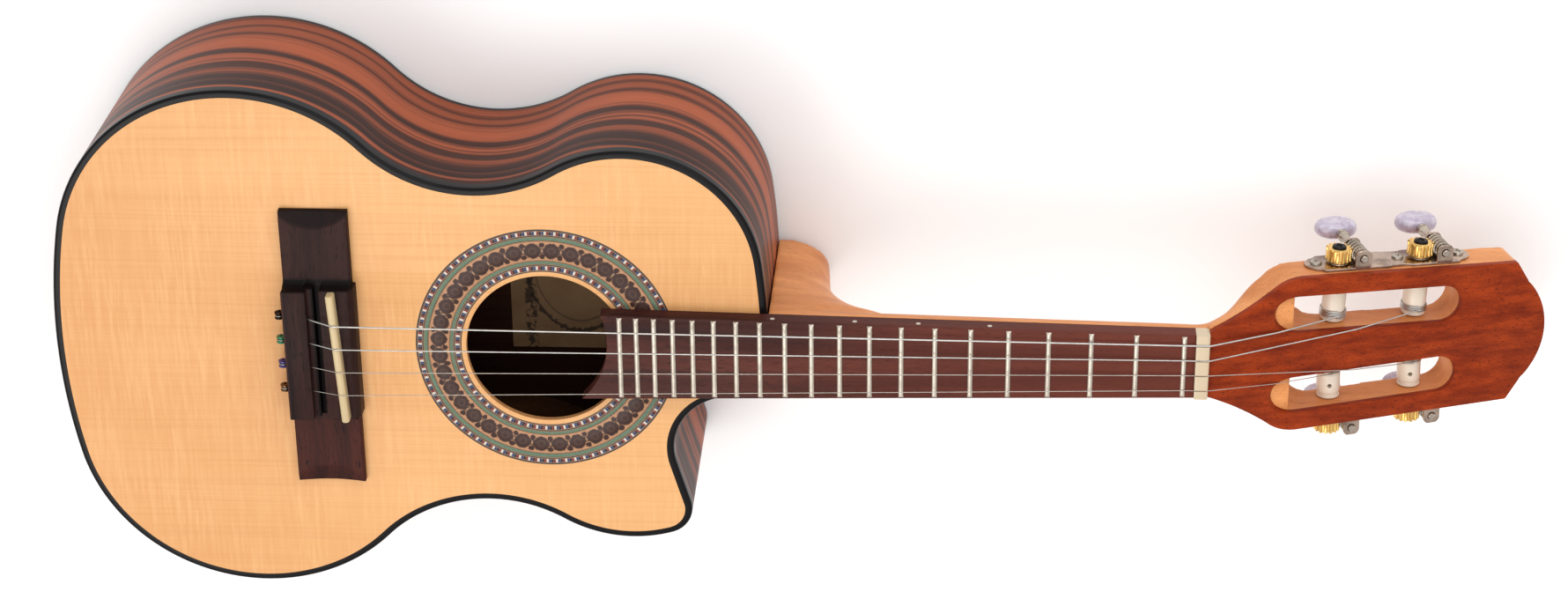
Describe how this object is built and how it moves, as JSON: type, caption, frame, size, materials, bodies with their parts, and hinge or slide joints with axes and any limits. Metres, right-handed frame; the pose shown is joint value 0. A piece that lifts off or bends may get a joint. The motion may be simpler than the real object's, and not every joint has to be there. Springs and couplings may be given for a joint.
{
  "type": "four-string cavaquinho",
  "caption": "Small plucked lute with a cutaway body, a slotted head with worm-geared tuners, and strings tied at a fixed bridge.",
  "frame": {"origin": "outer face of the flat back, on the centreline, directly below the saddle line", "axes": "+X towards the head, +Y towards the bass side, +Z out of the soundboard"},
  "size_m": [0.6087, 0.2226, 0.0998],
  "materials": {
    "spruce": "satin lacquer",
    "ribs": "glossy lacquer, lengthwise stripes",
    "back_wood": "glossy lacquer",
    "binding": "glossy",
    "inner_wood": "raw",
    "inlay": "satin lacquer, inlaid rings",
    "paper": "matt paper",
    "rosewood": "oiled",
    "bone": "satin",
    "fret_metal": "polished",
    "dot": "glossy",
    "cedar": "satin lacquer",
    "veneer": "glossy lacquer",
    "nickel": "polished nickel",
    "steel": "brushed",
    "brass": "satin",
    "pearloid": "glossy, pearly",
    "roller_white": "satin",
    "string_wire": "wound and plain wire"
  },
  "bodies": {
    "instrument": {"soundboard": "spruce", "back_plate": "back_wood", "side_bass": "ribs", "side_treble": "ribs", "top_binding": "binding", "back_binding": "binding", "top_lining": "inner_wood", "back_lining": "inner_wood", "neck_block": "inner_wood", "tail_block": "inner_wood", "top_braces": "inner_wood", "back_braces": "inner_wood", "bridge_plate": "inner_wood", "rosette": "inlay", "label": "paper", "bridge": "rosewood", "saddle": "bone", "fingerboard": "rosewood", "frets": "fret_metal", "side_dots": "dot", "nut": "bone", "neck": "cedar", "head_veneer": "veneer", "plate_bass": "nickel", "plate_treble": "nickel", "plate_screws": "steel", "string_1": "string_wire", "string_2": "string_wire", "string_3": "string_wire", "string_4": "string_wire", "ball_ends": "brass"},
    "key_1": {"worm_1": "steel", "button_1": "pearloid"},
    "roller_1_set": {"gear_1": "brass", "gear_screw_1": "steel", "roller_shaft_1": "steel", "roller_1": "roller_white", "winding_1": "string_wire"},
    "key_2": {"worm_2": "steel", "button_2": "pearloid"},
    "roller_2_set": {"gear_2": "brass", "gear_screw_2": "steel", "roller_shaft_2": "steel", "roller_2": "roller_white", "winding_2": "string_wire"},
    "key_3": {"worm_3": "steel", "button_3": "pearloid"},
    "roller_3_set": {"gear_3": "brass", "gear_screw_3": "steel", "roller_shaft_3": "steel", "roller_3": "roller_white", "winding_3": "string_wire"},
    "key_4": {"worm_4": "steel", "button_4": "pearloid"},
    "roller_4_set": {"gear_4": "brass", "gear_screw_4": "steel", "roller_shaft_4": "steel", "roller_4": "roller_white", "winding_4": "string_wire"}
  },
  "joints": [
    {"name": "key_1_turn", "type": "hinge", "parent": "instrument", "child": "key_1", "pos_m": [0.40986, -0.03819, 0.06254], "axis": [0.2672, 0, 0.9636], "continuous": true},
    {"name": "roller_1_turn", "type": "hinge", "parent": "instrument", "child": "roller_1_set", "pos_m": [0.40135, -0.01738, 0.0649], "axis": [0.0336, -0.9994, -0.0093], "continuous": true},
    {"name": "key_2_turn", "type": "hinge", "parent": "instrument", "child": "key_2", "pos_m": [0.44356, -0.03696, 0.05319], "axis": [0.2672, 0, 0.9636], "continuous": true},
    {"name": "roller_2_turn", "type": "hinge", "parent": "instrument", "child": "roller_2_set", "pos_m": [0.43505, -0.01616, 0.05555], "axis": [0.0336, -0.9994, -0.0093], "continuous": true},
    {"name": "key_3_turn", "type": "hinge", "parent": "instrument", "child": "key_3", "pos_m": [0.44356, 0.03696, 0.05319], "axis": [0.2672, 0, 0.9636], "continuous": true},
    {"name": "roller_3_turn", "type": "hinge", "parent": "instrument", "child": "roller_3_set", "pos_m": [0.43505, 0.01616, 0.05555], "axis": [0.0336, 0.9994, -0.0093], "continuous": true},
    {"name": "key_4_turn", "type": "hinge", "parent": "instrument", "child": "key_4", "pos_m": [0.40986, 0.03819, 0.06254], "axis": [0.2672, 0, 0.9636], "continuous": true},
    {"name": "roller_4_turn", "type": "hinge", "parent": "instrument", "child": "roller_4_set", "pos_m": [0.40135, 0.01738, 0.0649], "axis": [0.0336, 0.9994, -0.0093], "continuous": true}
  ],
  "couplings": [
    {"joint": "roller_1_turn", "follows": "key_1_turn", "ratio": 0.071429},
    {"joint": "roller_2_turn", "follows": "key_2_turn", "ratio": 0.071429},
    {"joint": "roller_3_turn", "follows": "key_3_turn", "ratio": 0.071429},
    {"joint": "roller_4_turn", "follows": "key_4_turn", "ratio": 0.071429}
  ]
}
